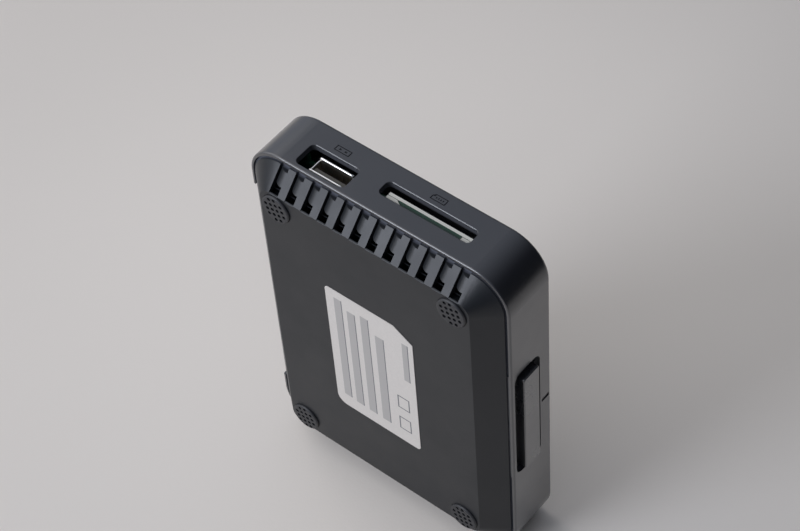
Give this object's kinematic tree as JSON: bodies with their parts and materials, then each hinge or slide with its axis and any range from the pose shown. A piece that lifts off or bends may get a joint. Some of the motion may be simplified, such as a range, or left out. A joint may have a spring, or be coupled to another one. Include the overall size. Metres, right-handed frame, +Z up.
{
  "type": "media player",
  "caption": "Small solid-state media player: deep moulded shell, dished vented cover with rubber feet and label, USB socket, card slot, power bar, sunk connector bay.",
  "frame": {"origin": "middle of the footprint of the player standing on the short edge opposite its sockets: on the standing face in Z, midway across in X with the proud power bar included, and midway in Y between the feet and the back face", "axes": "+Z up the length of the case, to the edge with the USB socket and card slot; +X across to the side with the power bar; +Y from the feet and label side to the plain back face"},
  "size_m": [0.0962, 0.026, 0.1315],
  "materials": {
    "chip_epoxy": "moulded epoxy",
    "jack_black": "moulded",
    "screw_steel": "zinc plated",
    "cover_plastic": "fine textured moulded plastic",
    "can_aluminium": "bare can",
    "contact_brass": "gold flashed contacts",
    "socket_steel": "nickel plated sheet",
    "socket_white": "natural white moulding",
    "tinned_metal": "tin plated",
    "chip_ceramic": "plated ceramic chips",
    "insert_orange": "coloured insulator",
    "foot_rubber": "dull moulded rubber",
    "anodised_aluminium": "black anodised",
    "board_laminate": "green solder mask over glass laminate",
    "bar_plastic": "smooth moulded plastic, clear to infrared",
    "coil_ferrite": "ferrite block",
    "label_film": "smooth white printed film",
    "panel_plastic": "fine textured moulded plastic",
    "led_lens": "clear lens",
    "switch_plastic": "moulded",
    "plunger_plastic": "moulded",
    "thermal_pad": "soft filled silicone",
    "shell_plastic": "satin moulded plastic, blue-black",
    "socket_black": "moulded"
  },
  "bodies": {
    "case": {"audio_chip": "chip_epoxy", "av_jack_body": "jack_black", "av_jack_bush": "jack_black", "board_screws": "screw_steel", "bottom_cover": "cover_plastic", "bulk_capacitors": "can_aluminium", "card_contacts": "contact_brass", "card_cover": "socket_steel", "card_frame": "socket_white", "case_screws": "screw_steel", "chip_leads": "tinned_metal", "chip_parts": "chip_ceramic", "coax_body": "jack_black", "coax_insert": "insert_orange", "coax_ring": "contact_brass", "component_jack_body": "jack_black", "component_jack_bush": "jack_black", "crystal": "socket_steel", "dc_body": "jack_black", "dc_pin": "contact_brass", "flash_chip": "chip_epoxy", "foot_lower_left": "foot_rubber", "foot_lower_right": "foot_rubber", "foot_upper_left": "foot_rubber", "foot_upper_right": "foot_rubber", "hdmi_shell": "socket_steel", "hdmi_tongue": "jack_black", "heatsink": "anodised_aluminium", "ir_receiver": "chip_epoxy", "main_board": "board_laminate", "memory_chips": "chip_epoxy", "power_coils": "coil_ferrite", "processor": "chip_epoxy", "rating_label": "label_film", "rear_panel": "panel_plastic", "regulators": "chip_epoxy", "status_led": "led_lens", "switch_body": "switch_plastic", "switch_legs": "tinned_metal", "thermal_pad": "thermal_pad", "top_shell": "shell_plastic", "usb_contacts": "contact_brass", "usb_insulator": "socket_black", "usb_shell": "socket_steel"},
    "bar": {"power_bar": "bar_plastic"},
    "plunger": {"switch_plunger": "plunger_plastic"}
  },
  "joints": [
    {"name": "bar_press", "type": "slide", "parent": "case", "child": "bar", "axis": [-1, 0, 0], "range_m": [0, 0.0007], "stiffness_N_per_m": 2000, "springref_m": -0.0002},
    {"name": "plunger_press", "type": "slide", "parent": "case", "child": "plunger", "axis": [-1, 0, 0], "range_m": [0, 0.0007]}
  ],
  "couplings": [
    {"joint": "plunger_press", "follows": "bar_press", "ratio": 1}
  ]
}
